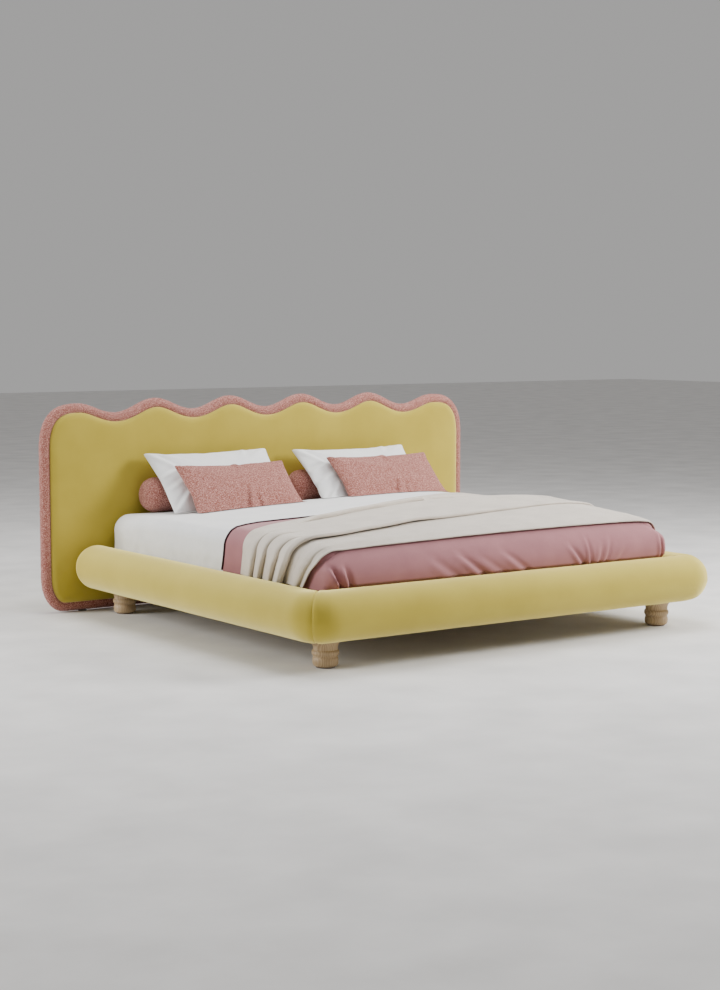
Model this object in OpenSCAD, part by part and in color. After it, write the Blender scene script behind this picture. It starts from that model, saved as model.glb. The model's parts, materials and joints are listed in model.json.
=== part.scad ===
// Upholstered double bed with a wavy headboard, round padded rails and turned feet.
// The origin is on the floor under the centre of the bed. +Y points to the headboard, +Z up.

/* [Mattress] */
// Width of the mattress
mattress_w = 1990; // [1790:10:2010]
// Length of the mattress
mattress_l = 1990; // [1890:10:2040]
// Thickness of the mattress
mattress_h = 270; // [240:5:290]
// Radius of the mattress's upright corners
mattress_corner_r = 60; // [40:5:90]

/* [Rails] */
// Diameter of the padded round rails
rail_d = 226; // [216:2:240]
// Height of the rails' axis over the floor
rail_z = 240; // [236:2:250]
// Distance from the rail's axis to its flat inner side
rail_cut = 100; // [98:1:104]
// Plan radius of the rail's axis at the foot corners
rail_corner_r = 56; // [40:2:70]
// Edge radius of the side rails' head ends
rail_end_r = 85; // [60:5:100]
// Height of the timber beams in the rails
beam_h = 100; // [90:5:100]
// Thickness of the timber beams in the rails
beam_t = 28; // [24:1:30]

/* [Headboard] */
// Overall width of the headboard
headboard_w = 2724; // [2600:4:2800]
// Mean height of the wavy top edge
headboard_z = 1070; // [1000:5:1120]
// Amplitude of the wave along the top edge
wave_a = 32.5; // [20:0.5:40]
// Length of one wave
wave_l = 462.5; // [440:0.5:480]
// Drop of the outermost crests below the mean line
wave_drop = 22; // [0:1:40]
// Diameter of the border roll
roll_d = 60; // [50:1:64]
// Thickness of the padded panel in front of the board
panel_t = 42; // [40:1:60]
// Thickness of the plywood board
board_t = 18; // [15:1:21]
// Thickness of the battens behind the board
batten_t = 28; // [20:1:32]

/* [Slats] */
// Number of slats in each of the two rows
slat_count = 14; // [12:1:16]
// Width of a slat
slat_w = 70; // [50:5:80]
// Thickness of a slat
slat_t = 18; // [12:1:20]

/* [Feet] */
// Distance of the feet's axes from the centre plane
foot_x = 990; // [940:5:1000]

/* [Bedding] */
// Rise of the duvet over the mattress
duvet_rise = 52; // [40:1:60]
// Thickness of the throw
throw_t = 7; // [4:0.5:10]
// Diameter of the bolsters
bolster_d = 188; // [170:2:192]
// Length of the bolsters
bolster_l = 800; // [700:10:840]
// Lean of the pillows from upright
pillow_lean = 48; // [46:1:50]

/* [Hidden] */
$fn = 64;
gap = 0.5;
rail_r = rail_d / 2;
inner_x = mattress_w / 2 + 13;
axis_x = inner_x + rail_cut;
foot_gap = 10;
head_gap = 14;
cover_t = 3;
headboard_t = panel_t + board_t + batten_t + cover_t;
depth = rail_r + rail_cut + foot_gap + mattress_l + head_gap + headboard_t;
foot_y = -depth / 2 + rail_r + rail_cut;
axis_y = foot_y - rail_cut;
back_y = depth / 2;
batten_y = back_y - cover_t - batten_t;
board_y = batten_y - board_t;
face_y = board_y - panel_t;
roll_y = batten_y - 9;
mattress_y = foot_y + foot_gap + mattress_l / 2;
corner_x = axis_x - rail_corner_r;
corner_y = axis_y + rail_corner_r;

beam_z = rail_z - beam_h / 2;
beam_end_y = face_y - 4;
ledge_t = 30;
ledge_h = 32;
slat_z = beam_z + ledge_h;
centre_w = 60;
centre_h = 60;
centre_z = slat_z - centre_h;
centre_end_gap = 4;
leg_w = 50;
leg_glide_h = 8;
leg_ys = [mattress_y - 360, mattress_y + 370];
block_w = 170;
block_h = 40;
block_z = beam_z - block_h;
block_x = 880;
block_back = 49;
frame_bolt_head = 5;
foot_pad_t = 3;
foot_ys = [foot_y + 5, mattress_y + 854];
bolt_d = 8;
foot_bolt_d = 10;

mattress_z = slat_z + slat_t + gap;
sheet_t = 2.5;
mattress_top = mattress_z + mattress_h;
sheet_top = mattress_top + sheet_t + 0.3;
sheet_x = mattress_w / 2 + sheet_t;
side_gap = 0.6;
duvet_x = sheet_x + 10;
duvet_low_z = 330;
duvet_foot = 960;
duvet_head_y = 40;
duvet_h = sheet_top + duvet_rise - duvet_low_z;
throw_drop_z = 336;

floor_gap = 4;
outline_step = 24;
corner_a = 205;
corner_h = 240;
lower_a = 120;
lower_h = 180;
crest_x = headboard_w / 2 - corner_a;
side_inset = roll_d + 1;
panel_inset = 48;

// ---- helpers ----

// Draws its children on the left side as they are modelled for the right side.
module on_side(side) {
  mirror([side < 0 ? 1 : 0, 0, 0]) children();
}

// A flat rectangle centred on the origin, with round corners.
module round_rect(w, l, r) {
  square([w - 2 * r, l], center = true);
  square([w, l - 2 * r], center = true);
  for (x = [-1, 1], y = [-1, 1]) {
    translate([x * (w / 2 - r), y * (l / 2 - r)]) circle(r);
  }
}

// A box given by its low corner and its high corner.
module span(low, high) {
  translate(low) cube(high - low);
}

// ---- headboard outline ----

function top_z(x) = headboard_z - wave_drop * pow(abs(x) / crest_x, 4)
  - wave_a * cos(360 * x / wave_l);
function bulge(t, n) = pow(t, 2 / n);

// The right half of the outer outline, from the bottom centre up and round to the top centre.
half_outline = concat(
  [for (x = [0 : 100 : crest_x + corner_a - lower_a - 50]) [x, floor_gap]],
  [for (t = [90 : -10 : 0]) [
    headboard_w / 2 - lower_a + lower_a * cos(t),
    floor_gap + lower_h - lower_h * sin(t)
  ]],
  [for (z = [280 : 80 : headboard_z - wave_drop - corner_h - 60]) [headboard_w / 2, z]],
  [for (t = [0 : 6 : 84]) [
    crest_x + corner_a * bulge(cos(t), 2.5),
    top_z(crest_x) - corner_h + corner_h * bulge(sin(t), 2.5)
  ]],
  [for (i = [floor(crest_x / outline_step) : -1 : 0]) [i * outline_step, top_z(i * outline_step)]]
);
half_n = len(half_outline);
outline = concat(
  half_outline,
  [for (i = [half_n - 2 : -1 : 1]) [-half_outline[i][0], half_outline[i][1]]]
);

function unit(v) = v / norm(v);
function inward(pts, i) =
  let (n = len(pts), d = unit(pts[(i + 1) % n] - pts[(i + n - 1) % n])) [-d[1], d[0]];
function inset(pts, d) = [for (i = [0 : len(pts) - 1]) pts[i] + d * inward(pts, i)];

// The outline, moved inward and made into a plate from y0 to y1.
module outline_plate(d, y0, y1) {
  translate([0, y1, 0]) rotate([90, 0, 0]) linear_extrude(y1 - y0) polygon(inset(outline, d));
}

module headboard_board() {
  color("burlywood") difference() {
    outline_plate(side_inset, board_y, batten_y);
    bolt_shanks();
  }
}

// The padded panel is thickest in the middle and laps over the inner side of the roll.
module headboard_panel() {
  lap_y = roll_y - roll_d / 2 + 6.5;
  color("darkkhaki") difference() {
    union() {
      outline_plate(side_inset + 9, face_y, face_y + 6.5);
      outline_plate(panel_inset + 6, face_y + 6, face_y + 14);
      outline_plate(panel_inset, face_y + 13, lap_y);
      outline_plate(side_inset, lap_y - 0.5, board_y);
    }
    bolt_shanks();
  }
}

// A padded tube that follows the outline round the board's edge.
module headboard_border_roll() {
  sides = 8;
  path = inset(outline, roll_d / 2);
  n = len(path);
  pts = [for (i = [0 : n - 1], k = [0 : sides - 1])
    let (
      d = inward(outline, i),
      a = 360 * k / sides,
      r = roll_d / 2
    )
    [path[i][0] + r * cos(a) * d[0], roll_y + r * sin(a), path[i][1] + r * cos(a) * d[1]]
  ];
  faces = [for (i = [0 : n - 1], k = [0 : sides - 1])
    let (j = (i + 1) % n, m = (k + 1) % sides)
    [i * sides + k, i * sides + m, j * sides + m, j * sides + k]
  ];
  color("rosybrown") polyhedron(pts, faces, convexity = 6);
}

module headboard_back_cover() {
  color("darkkhaki") outline_plate(side_inset + 1, back_y - cover_t, back_y);
}

post_x = headboard_w / 2 - 212;
post_w = 70;
post_low_z = 100;
post_high_z = 960;
batten_low_z = 100;
batten_high_z = 900;
batten_h = 70;

module batten(x0, x1, z0, z1) {
  span([x0, batten_y, z0], [x1, batten_y + batten_t, z1]);
}

module headboard_top_batten() {
  color("tan") batten(-post_x, post_x, batten_high_z, batten_high_z + batten_h);
}

module headboard_bottom_batten() {
  color("tan") batten(-post_x, post_x, batten_low_z, batten_low_z + batten_h);
}

module headboard_post(x) {
  color("tan") difference() {
    batten(x - post_w / 2, x + post_w / 2, batten_low_z + batten_h, batten_high_z);
    bolt_shanks();
  }
}

module headboard_glides() {
  color("dimgray") for (x = [-1, 1]) {
    translate([x * (post_x - 20), roll_y, 0]) cylinder(d = 44, h = floor_gap);
  }
}

// ---- rail to headboard joint ----

bracket_t = 4;
bracket_arm = 90;
bracket_flange = 56;
bracket_h = 80;
side_bolt_x = inner_x - 38;
side_bolt_zs = [rail_z - 20, rail_z + 20];
centre_bolt_x = 36;
centre_bolt_z = slat_z - 30;
bolt_places = concat(
  [for (x = [-side_bolt_x, side_bolt_x], z = side_bolt_zs) [x, z]],
  [for (x = [-centre_bolt_x, centre_bolt_x]) [x, centre_bolt_z]]
);

module bolt_shanks() {
  for (p = bolt_places) {
    translate([p[0], back_y - cover_t - 1, p[1]]) rotate([90, 0, 0]) {
      cylinder(d = bolt_d, h = back_y - cover_t - 1 - face_y + 4);
    }
    translate([p[0], batten_y + 6, p[1]]) rotate([90, 0, 0]) cylinder(d = 14, h = 6);
  }
}

module headboard_bolts() {
  color("silver") for (p = bolt_places) {
    translate([p[0], batten_y + 6, p[1]]) rotate([90, 0, 0]) {
      cylinder(d = 14, h = 6);
      cylinder(d = bolt_d, h = batten_y + 6 - face_y + bracket_t);
    }
  }
}

// An angle plate on the beam's inner side, with its flange flat against the panel.
module rail_bracket(side) {
  color("silver") on_side(side) difference() {
    union() {
      span(
        [inner_x - bracket_t, face_y - bracket_arm, rail_z - bracket_h / 2],
        [inner_x, face_y, rail_z + bracket_h / 2]
      );
      span(
        [inner_x - bracket_flange, face_y - bracket_t, rail_z - bracket_h / 2],
        [inner_x, face_y, rail_z + bracket_h / 2]
      );
    }
    bolt_shanks();
  }
}

// ---- padded rails ----

// The rounded head end of a rail: a disc with a quarter-round rim, along +Z.
module rail_head_end() {
  rotate_extrude() {
    square([rail_r - rail_end_r, rail_end_r]);
    translate([rail_r - rail_end_r, 0]) intersection() {
      circle(rail_end_r);
      square(rail_end_r);
    }
  }
}

// Plan of all the rails together, with the foot corners rounded.
module rails_plan() {
  outer_r = rail_corner_r + rail_r;
  outer_x = axis_x + rail_r;
  linear_extrude(rail_z * 2) {
    translate([-outer_x, corner_y]) square([2 * outer_x, depth]);
    translate([-corner_x, -depth / 2]) square([2 * corner_x, depth]);
    for (x = [-corner_x, corner_x]) translate([x, corner_y]) circle(outer_r);
  }
}

// What the padding leaves free: the timber frame, the feet and the space for the mattress.
module rail_voids() {
  on_side(1) beam_shape();
  on_side(-1) beam_shape();
  foot_beam_shape();
  block_shapes();
  frame_bolts();
  for (x = [-1, 1], y = foot_ys) {
    translate([x * foot_x, y, 0]) cylinder(d = foot_top_d + 1, h = block_z + 1);
  }
  span([-inner_x, foot_y, 0], [inner_x, face_y, rail_z * 2]);
}

module side_rail_roll(side) {
  head_end_y = face_y - 1 - rail_end_r;
  far = axis_x - inner_x + rail_d;
  color("khaki") on_side(side) difference() {
    intersection() {
      union() {
        translate([axis_x, -depth / 2, rail_z]) rotate([-90, 0, 0]) {
          cylinder(r = rail_r, h = head_end_y + depth / 2);
        }
        translate([axis_x, head_end_y, rail_z]) rotate([-90, 0, 0]) rail_head_end();
      }
      translate([inner_x, foot_y, 0]) linear_extrude(rail_z * 2) {
        polygon([[0, 0], [far, -far], [far, depth], [0, depth]]);
      }
      rails_plan();
    }
    rail_voids();
  }
}

module foot_rail_roll() {
  far = rail_cut + rail_d;
  color("khaki") difference() {
    intersection() {
      translate([-axis_x - rail_r, axis_y, rail_z]) rotate([0, 90, 0]) {
        cylinder(r = rail_r, h = 2 * (axis_x + rail_r));
      }
      translate([0, foot_y, 0]) linear_extrude(rail_z * 2) polygon([
        [-inner_x, 0], [-inner_x - far, -far], [inner_x + far, -far], [inner_x, 0]
      ]);
      rails_plan();
    }
    rail_voids();
  }
}

// ---- timber frame ----

module beam_shape() {
  span([inner_x, foot_y - beam_t, beam_z], [inner_x + beam_t, beam_end_y, beam_z + beam_h]);
}

module foot_beam_shape() {
  span([-inner_x, foot_y - beam_t, beam_z], [inner_x, foot_y, beam_z + beam_h]);
}

module side_beam(side) {
  color("tan") difference() {
    on_side(side) beam_shape();
    frame_bolts();
  }
}

module foot_beam() {
  color("tan") difference() {
    foot_beam_shape();
    frame_bolts();
  }
}

module slat_ledge(side) {
  color("tan") on_side(side) span(
    [inner_x - ledge_t, foot_y + 5, beam_z],
    [inner_x, face_y - bracket_arm - 10, slat_z]
  );
}

module centre_beam() {
  color("tan") span(
    [-centre_w / 2, foot_y + centre_end_gap, centre_z],
    [centre_w / 2, face_y - centre_end_gap, slat_z]
  );
}

hanger_t = 3;
hanger_l = 45;

// A steel shoe that carries one end of the centre beam. Its back plate stands at y = 0.
module hanger_shape() {
  half = centre_w / 2 + 0.2;
  low = centre_z - 0.2;
  span([-half - 22, 0, low - hanger_t], [half + 22, hanger_t, slat_z - 8]);
  span([-half - hanger_t, 0, low - hanger_t], [half + hanger_t, hanger_l, low]);
  for (x = [-half - hanger_t, half]) {
    span([x, 0, low - hanger_t], [x + hanger_t, hanger_l, slat_z - 8]);
  }
}

module centre_hanger_foot() {
  color("silver") translate([0, foot_y, 0]) hanger_shape();
}

module centre_hanger_head() {
  color("silver") difference() {
    translate([0, face_y, 0]) mirror([0, 1, 0]) hanger_shape();
    bolt_shanks();
  }
}

module centre_leg(y) {
  color("tan") span(
    [-leg_w / 2, y - leg_w / 2, leg_glide_h],
    [leg_w / 2, y + leg_w / 2, centre_z]
  );
}

module centre_leg_glides() {
  color("dimgray") for (y = leg_ys) {
    translate([0, y, 0]) cylinder(d = 40, h = leg_glide_h);
  }
}

module slats(side) {
  clear_l = face_y - foot_y - 2 * bracket_arm;
  pitch = (clear_l - slat_w) / (slat_count - 1);
  color("wheat") on_side(side) for (i = [0 : slat_count - 1]) {
    y = foot_y + bracket_arm + i * pitch;
    span([4, y, slat_z], [inner_x - 4, y + slat_w, slat_z + slat_t]);
  }
}

module block_shapes() {
  for (x = [-1, 1], y = foot_ys) on_side(x) {
    translate([block_x, y - block_back, block_z]) cube([block_w, block_w, block_h]);
  }
}

// Timber blocks under the beams, which the feet are bolted to.
module corner_blocks() {
  color("tan") difference() {
    block_shapes();
    foot_bolts();
    frame_bolts();
  }
}

module frame_bolt() {
  cylinder(d = bolt_d, h = block_h + 50);
  translate([0, 0, -frame_bolt_head]) cylinder(d = 14, h = frame_bolt_head);
}

// Bolts that go up through the blocks into the beams.
module frame_bolts() {
  beam_mid = inner_x + beam_t / 2;
  side_ys = [foot_ys[0] + 80, foot_ys[1] + 72, foot_ys[1] + 106];
  color("silver") for (x = [-1, 1]) {
    for (y = side_ys) translate([x * beam_mid, y, block_z]) frame_bolt();
    translate([x * (block_x + 25), foot_y - beam_t / 2, block_z]) frame_bolt();
  }
}

// ---- turned feet ----

foot_top_d = 134;

// Profile of a foot, from the axis out: round bottom, two beads, a neck and a flared top.
module foot_profile() {
  neck_r = 54.5;
  difference() {
    union() {
      translate([0, foot_pad_t]) square([44, 44]);
      translate([44, foot_pad_t + 14]) intersection() {
        circle(13);
        square(28, center = true);
      }
      translate([0, foot_pad_t + 10]) square([54, block_z - foot_pad_t - 10]);
      translate([43, 29]) circle(14);
      translate([neck_r - 9, 65]) circle(14.5);
      polygon([
        [0, 84], [neck_r, 84], [neck_r + 1, 96], [foot_top_d / 2 - 5, 108],
        [foot_top_d / 2, 118], [foot_top_d / 2, block_z], [0, block_z]
      ]);
    }
    translate([-30, 0]) square([30, block_z]);
  }
}

module turned_foot(x, y) {
  color("palegoldenrod") difference() {
    translate([x, y, 0]) rotate_extrude() foot_profile();
    foot_bolts();
  }
}

module foot_bolts() {
  color("silver") for (x = [-1, 1], y = foot_ys) {
    translate([x * foot_x, y, 70]) cylinder(d = foot_bolt_d, h = block_z + block_h - 70);
  }
}

module foot_pads() {
  color("dimgray") for (x = [-1, 1], y = foot_ys) {
    translate([x * foot_x, y, 0]) cylinder(d = 84, h = foot_pad_t);
  }
}

// ---- mattress and bedding ----

module mattress() {
  color("white") translate([0, mattress_y, mattress_z]) linear_extrude(mattress_h) {
    round_rect(mattress_w, mattress_l, mattress_corner_r);
  }
}

// The block that the sheet fills, made larger by extra on every side.
module made_bed(extra) {
  grow = 2 * (sheet_t + 0.3 + extra);
  translate([0, mattress_y, mattress_z + 20]) linear_extrude(sheet_top - mattress_z - 20 + extra) {
    round_rect(mattress_w + grow, mattress_l + grow, mattress_corner_r + grow / 2);
  }
}

module fitted_sheet() {
  color("whitesmoke") difference() {
    made_bed(0);
    translate([0, mattress_y, mattress_z]) linear_extrude(mattress_h + 0.3) {
      round_rect(mattress_w + 0.6, mattress_l + 0.6, mattress_corner_r + 0.3);
    }
  }
}

// Side view of the duvet's outer surface: a soft curve that drops at the foot end.
function duvet_side(extra) = [for (t = [0 : 5 : 90]) [
  -(duvet_foot + extra) * bulge(cos(t), 8),
  duvet_low_z + (duvet_h + extra) * bulge(sin(t), 8)
]];

module duvet_block(half_w, extra, low_z, head_y) {
  rotate([90, 0, 90]) translate([0, 0, -half_w]) linear_extrude(2 * half_w) polygon(concat(
    [[head_y, low_z], [-duvet_foot - extra, low_z]],
    duvet_side(extra),
    [[head_y, duvet_low_z + duvet_h + extra]]
  ));
}

module rail_clearance() {
  translate([-axis_x, axis_y, rail_z]) rotate([0, 90, 0]) {
    cylinder(r = rail_r + 1.5, h = 2 * axis_x);
  }
}

module duvet() {
  color("rosybrown") difference() {
    duvet_block(duvet_x, 0, duvet_low_z, duvet_head_y);
    made_bed(side_gap);
    rail_clearance();
  }
}

// The throw lies over the duvet. Its head edge runs at a slant across the bed.
module throw() {
  head_y = [-330, 420];
  foot_edge_y = -890;
  half_w = duvet_x + side_gap + throw_t;
  color("antiquewhite") intersection() {
    difference() {
      duvet_block(half_w, throw_t, throw_drop_z, 600);
      duvet_block(duvet_x + side_gap, side_gap, 0, 700);
      rail_clearance();
    }
    linear_extrude(2000) polygon([
      [-half_w, foot_edge_y], [half_w, foot_edge_y], [half_w, head_y[1]], [-half_w, head_y[0]]
    ]);
  }
}

bolster_y = face_y - bolster_d / 2 - 5;
bolster_z = sheet_top + bolster_d / 2 + 1;
bolster_end_r = 70;

module bolster(x) {
  r = bolster_d / 2;
  color("rosybrown") translate([x - bolster_l / 2, bolster_y, bolster_z]) rotate([0, 90, 0]) {
    rotate_extrude() difference() {
      translate([0, bolster_l / 2]) round_rect(2 * r, bolster_l, bolster_end_r);
      translate([-2 * r, 0]) square([2 * r, bolster_l]);
    }
  }
}

// A cushion that thins towards its edges: a rounded slab between two large spheres.
module cushion_shape(w, h, t, edge_t) {
  reach = norm([w, h]) / 2;
  rise = (t - edge_t) / 2;
  big_r = (reach * reach + rise * rise) / (2 * rise);
  intersection() {
    translate([0, 0, -t]) linear_extrude(2 * t) round_rect(w, h, 40);
    translate([0, 0, big_r - t / 2]) sphere(big_r, $fn = 360);
    translate([0, 0, t / 2 - big_r]) sphere(big_r, $fn = 360);
  }
}

// Stands the cushion's shape up, leaning back by the pillows' angle.
module leaning(x, y, z) {
  translate([x, y, z]) rotate([90 - pillow_lean, 0, 0]) children();
}

pillow_w = 780;
pillow_h = 420;
pillow_t = 80;
cushion_w = 670;
cushion_h = 340;
cushion_t = 70;

// Centre of the white pillow, in front of the bolster, with its low edge on the sheet.
pillow_z = sheet_top + 1.5 + pillow_h / 2 * cos(pillow_lean) + pillow_t / 2 * sin(pillow_lean);
pillow_y = bolster_y + (pillow_z - bolster_z) * tan(pillow_lean)
  - (bolster_d / 2 + pillow_t / 2 + 2) / cos(pillow_lean);
cushion_z = sheet_top + 1.5 + cushion_h / 2 * cos(pillow_lean)
  + cushion_t / 2 * sin(pillow_lean);
cushion_y = pillow_y + (cushion_z - pillow_z) * tan(pillow_lean)
  - (pillow_t / 2 + cushion_t / 2 + 1) / cos(pillow_lean);

module pillow(x) {
  color("whitesmoke") leaning(x, pillow_y, pillow_z) cushion_shape(pillow_w, pillow_h, pillow_t, 24);
}

module cushion(x) {
  color("rosybrown") leaning(x, cushion_y, cushion_z) {
    cushion_shape(cushion_w, cushion_h, cushion_t, 24);
  }
}

headboard_board();
headboard_panel();
headboard_border_roll();
headboard_back_cover();
headboard_top_batten();
headboard_bottom_batten();
headboard_post(-post_x);  // headboard_post_left
headboard_post(0);  // headboard_post_centre
headboard_post(post_x);  // headboard_post_right
headboard_glides();
headboard_bolts();
rail_bracket(-1);  // rail_bracket_left
rail_bracket(1);  // rail_bracket_right
side_rail_roll(-1);  // side_rail_left_roll
side_rail_roll(1);  // side_rail_right_roll
foot_rail_roll();
side_beam(-1);  // side_beam_left
side_beam(1);  // side_beam_right
foot_beam();
slat_ledge(-1);  // slat_ledge_left
slat_ledge(1);  // slat_ledge_right
centre_beam();
centre_hanger_foot();
centre_hanger_head();
centre_leg(leg_ys[0]);  // centre_leg_front
centre_leg(leg_ys[1]);  // centre_leg_back
centre_leg_glides();
slats(-1);  // slats_left
slats(1);  // slats_right
corner_blocks();
frame_bolts();
turned_foot(-foot_x, foot_ys[0]);  // foot_front_left
turned_foot(foot_x, foot_ys[0]);  // foot_front_right
turned_foot(-foot_x, foot_ys[1]);  // foot_back_left
turned_foot(foot_x, foot_ys[1]);  // foot_back_right
foot_bolts();
foot_pads();
mattress();
fitted_sheet();
duvet();
throw();
bolster(-470);  // bolster_left
bolster(455);  // bolster_right
pillow(-445);  // pillow_left
pillow(470);  // pillow_right
cushion(-415);  // cushion_left
cushion(545);  // cushion_right
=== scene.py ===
import json
import math

import bmesh
import bpy
import numpy as np
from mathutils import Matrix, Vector, geometry, noise
from mathutils.bvhtree import BVHTree


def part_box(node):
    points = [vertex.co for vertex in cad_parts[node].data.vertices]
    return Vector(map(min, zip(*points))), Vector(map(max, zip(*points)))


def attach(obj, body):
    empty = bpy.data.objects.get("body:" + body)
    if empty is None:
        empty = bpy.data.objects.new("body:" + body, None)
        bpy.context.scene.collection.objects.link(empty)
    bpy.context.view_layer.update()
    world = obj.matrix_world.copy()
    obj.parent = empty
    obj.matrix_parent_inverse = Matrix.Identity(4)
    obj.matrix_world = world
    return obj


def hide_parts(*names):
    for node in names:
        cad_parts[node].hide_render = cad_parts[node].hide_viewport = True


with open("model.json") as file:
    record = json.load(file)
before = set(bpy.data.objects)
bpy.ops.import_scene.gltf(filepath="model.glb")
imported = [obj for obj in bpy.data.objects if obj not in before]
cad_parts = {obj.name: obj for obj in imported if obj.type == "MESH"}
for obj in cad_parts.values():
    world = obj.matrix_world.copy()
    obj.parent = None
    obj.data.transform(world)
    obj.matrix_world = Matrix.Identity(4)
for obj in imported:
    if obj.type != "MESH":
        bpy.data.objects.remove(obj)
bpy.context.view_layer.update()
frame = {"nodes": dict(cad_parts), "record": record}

MM = 0.001
LOOP_SIZE = 7 * MM
LOOP_ROOM = 1.5 * MM


# --- mesh helpers

def span(node):
    """Lowest and highest corner of a CAD node, as arrays."""
    low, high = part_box(node)
    return np.array(low), np.array(high)


def make_object(name, points, faces, material, body, stands_for=()):
    """A smooth mesh object in the row frame, riding on a body."""
    mesh = bpy.data.meshes.new(name)
    mesh.from_pydata([tuple(p) for p in points], [], faces)
    mesh.update()
    mesh.polygons.foreach_set("use_smooth", [True] * len(mesh.polygons))
    mesh.materials.append(material)
    obj = bpy.data.objects.new(name, mesh)
    bpy.context.scene.collection.objects.link(obj)
    if body:
        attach(obj, body)
    if stands_for:
        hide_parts(*stands_for)
    return obj


def grid_faces(rows, cols, wrap_rows=False, wrap_cols=False, first=0):
    """Quads over a rows x cols grid of points, wound so that row x column points outward."""
    faces = []
    for i in range(rows if wrap_rows else rows - 1):
        for j in range(cols if wrap_cols else cols - 1):
            i2, j2 = (i + 1) % rows, (j + 1) % cols
            faces.append((first + i * cols + j, first + i * cols + j2,
                          first + i2 * cols + j2, first + i2 * cols + j))
    return faces


def coordinates(obj, kind="co"):
    out = np.empty(len(obj.data.vertices) * 3)
    obj.data.vertices.foreach_get(kind, out)
    return out.reshape(-1, 3)


def set_coordinates(obj, points):
    obj.data.vertices.foreach_set("co", np.asarray(points, dtype=float).ravel())
    obj.data.update()


def wobble(points, scale, seed=0.0):
    """Smooth noise from about -1 to 1 at each point; scale is in waves per metre."""
    shift = Vector((seed, seed * 1.7, seed * 0.3))
    return np.array([noise.noise(Vector(p) * scale + shift) for p in points])


def loops(points, size, seed=0.0):
    """Rounded bumps of about the given size, as the loops of a boucle yarn stand up."""
    shift = Vector((seed, seed, seed))
    return np.array([1 - min(noise.voronoi(Vector(p) / size + shift)[0][0], 1.0) for p in points])


def unit(vectors):
    return vectors / np.maximum(np.linalg.norm(vectors, axis=1), 1e-9)[:, None]


def circle(count):
    return np.linspace(0, 2 * math.pi, count, endpoint=False)


def smooth_loop(values, rounds):
    """Evens out the rows of an array that closes on itself."""
    for _ in range(rounds):
        values = (np.roll(values, 1, 0) + 2 * values + np.roll(values, -1, 0)) / 4
    return values


def cap_tube(points, faces, rows, sides):
    """Closes both ends of a tube with a fan each."""
    for row, flip in ((0, False), (rows - 1, True)):
        first, hub = row * sides, len(points)
        points = np.vstack([points, points[first:first + sides].mean(0)])
        for j in range(sides):
            a, b = first + j, first + (j + 1) % sides
            faces.append((hub, a, b) if flip else (hub, b, a))
    return points


def lathe(profile, sides):
    """Rings of points round the z axis, one for each (radius, height)."""
    turn = circle(sides)
    return np.vstack([np.column_stack([r * np.cos(turn), r * np.sin(turn), np.full(sides, z)])
                      for r, z in profile])


def edge_pairs(obj):
    pairs = np.empty(len(obj.data.edges) * 2, dtype=int)
    obj.data.edges.foreach_get("vertices", pairs)
    return pairs.reshape(-1, 2)


def relax(points, pairs):
    """Moves each point half way to the middle of its neighbours."""
    count = np.bincount(pairs.ravel(), minlength=len(points))[:, None]
    total = np.zeros_like(points)
    np.add.at(total, pairs[:, 0], points[pairs[:, 1]])
    np.add.at(total, pairs[:, 1], points[pairs[:, 0]])
    return points + (total / np.maximum(count, 1) - points) * 0.5


def subdivide(obj):
    apply_modifier(obj, "SUBSURF", levels=1, render_levels=1)


def apply_modifier(obj, kind, **settings):
    mod = obj.modifiers.new(kind.lower(), kind)
    for key, value in settings.items():
        setattr(mod, key, value)
    bake_modifiers(obj)


def bake_modifiers(obj):
    """Replaces the object's mesh by its evaluated one and drops the modifiers."""
    graph = bpy.context.evaluated_depsgraph_get()
    mesh = bpy.data.meshes.new_from_object(obj.evaluated_get(graph))
    old = obj.data
    obj.modifiers.clear()
    obj.data = mesh
    mesh.name = obj.name
    bpy.data.meshes.remove(old)


# --- materials

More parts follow.
